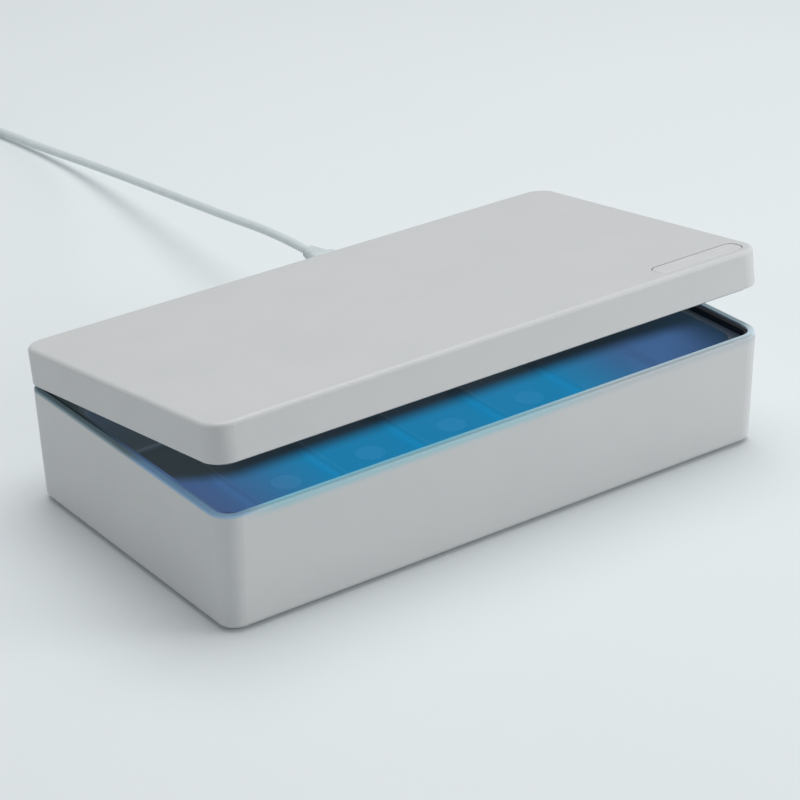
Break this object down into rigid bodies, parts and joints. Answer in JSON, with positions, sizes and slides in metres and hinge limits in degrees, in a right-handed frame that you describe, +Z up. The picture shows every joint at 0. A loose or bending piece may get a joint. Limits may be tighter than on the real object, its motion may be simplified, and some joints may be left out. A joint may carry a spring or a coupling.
{
  "type": "uv sterilizer box",
  "caption": "Shallow oblong box with a hinged lid standing ajar, a bright ribbed tub lit by lamps, a flush button bar on the lid and a power lead at the rear.",
  "frame": {"origin": "middle of the box's footprint on the floor, hinge barrels included and the lead left out", "axes": "+X along the box to the button's end, -Y to the front where the lid opens, +Z up"},
  "size_m": [0.22, 0.4701, 0.0722],
  "materials": {
    "body": "fine satin texture, pale grey-white",
    "button": "satin, a shade lighter than the lid",
    "liner": "smoked metallised film",
    "seal": "dark silicone",
    "feet": "matt grey",
    "screws": "zinc plated",
    "pin_steel": "ground",
    "bush": "acetal",
    "board": "green solder mask",
    "lamp_board": "white mask on a metal core",
    "chip": "moulded black",
    "can": "bare can",
    "connector": "natural nylon",
    "lamp": "ceramic package with a clear lens",
    "window": "polished quartz",
    "switch": "moulded black",
    "wire": "red insulation",
    "magnet": "nickel plated",
    "plug_metal": "stamped, nickel plated",
    "tongue": "black nylon with contacts",
    "grip": "satin, pale grey-white",
    "lead": "soft jacket, pale grey-white",
    "tie": "black strap"
  },
  "bodies": {
    "base": {"base_shell": "body", "chamber_liner": "liner", "base_feet": "feet", "base_screws": "screws", "main_board": "board", "board_screws": "screws", "usb_socket": "plug_metal", "usb_socket_tongue": "tongue", "board_chips": "chip", "board_inductor": "chip", "board_capacitors": "can", "board_connectors": "connector", "base_led_board": "lamp_board", "base_leds": "lamp", "base_led_windows": "window", "base_led_screws": "screws", "base_led_lead": "wire", "hinge_pin": "pin_steel", "hinge_tube": "pin_steel", "base_harness": "wire", "sensor_magnet": "magnet", "rim_seal": "seal", "plug_overmould": "grip", "plug_shell": "plug_metal", "cable": "lead", "cable_coil": "lead", "cable_tie": "tie", "cable_tail": "lead", "usb_a_overmould": "grip", "usb_a_shell": "plug_metal", "usb_a_tongue": "tongue"},
    "lid": {"lid_shell": "body", "lid_inner_panel": "liner", "lid_screws": "screws", "lid_led_board": "lamp_board", "lid_leds": "lamp", "lid_led_windows": "window", "lid_led_screws": "screws", "control_board": "board", "control_screws": "screws", "tact_switch": "switch", "status_led": "lamp", "hall_sensor": "chip", "lid_connectors": "connector", "hinge_bushes": "bush", "lid_harness": "wire", "control_lead": "wire"},
    "power_button": {"power_button": "button", "switch_plunger": "switch"}
  },
  "joints": [
    {"name": "lid_hinge", "type": "hinge", "parent": "base", "child": "lid", "pos_m": [0, 0.0606, 0.0418], "axis": [-1, 0, 0], "range_deg": [-8, 72]},
    {"name": "power_button_press", "type": "slide", "parent": "lid", "child": "power_button", "axis": [0, -0.1392, -0.9903], "range_m": [0, 0.0006], "stiffness_N_per_m": 2500, "springref_m": -0.0002}
  ]
}
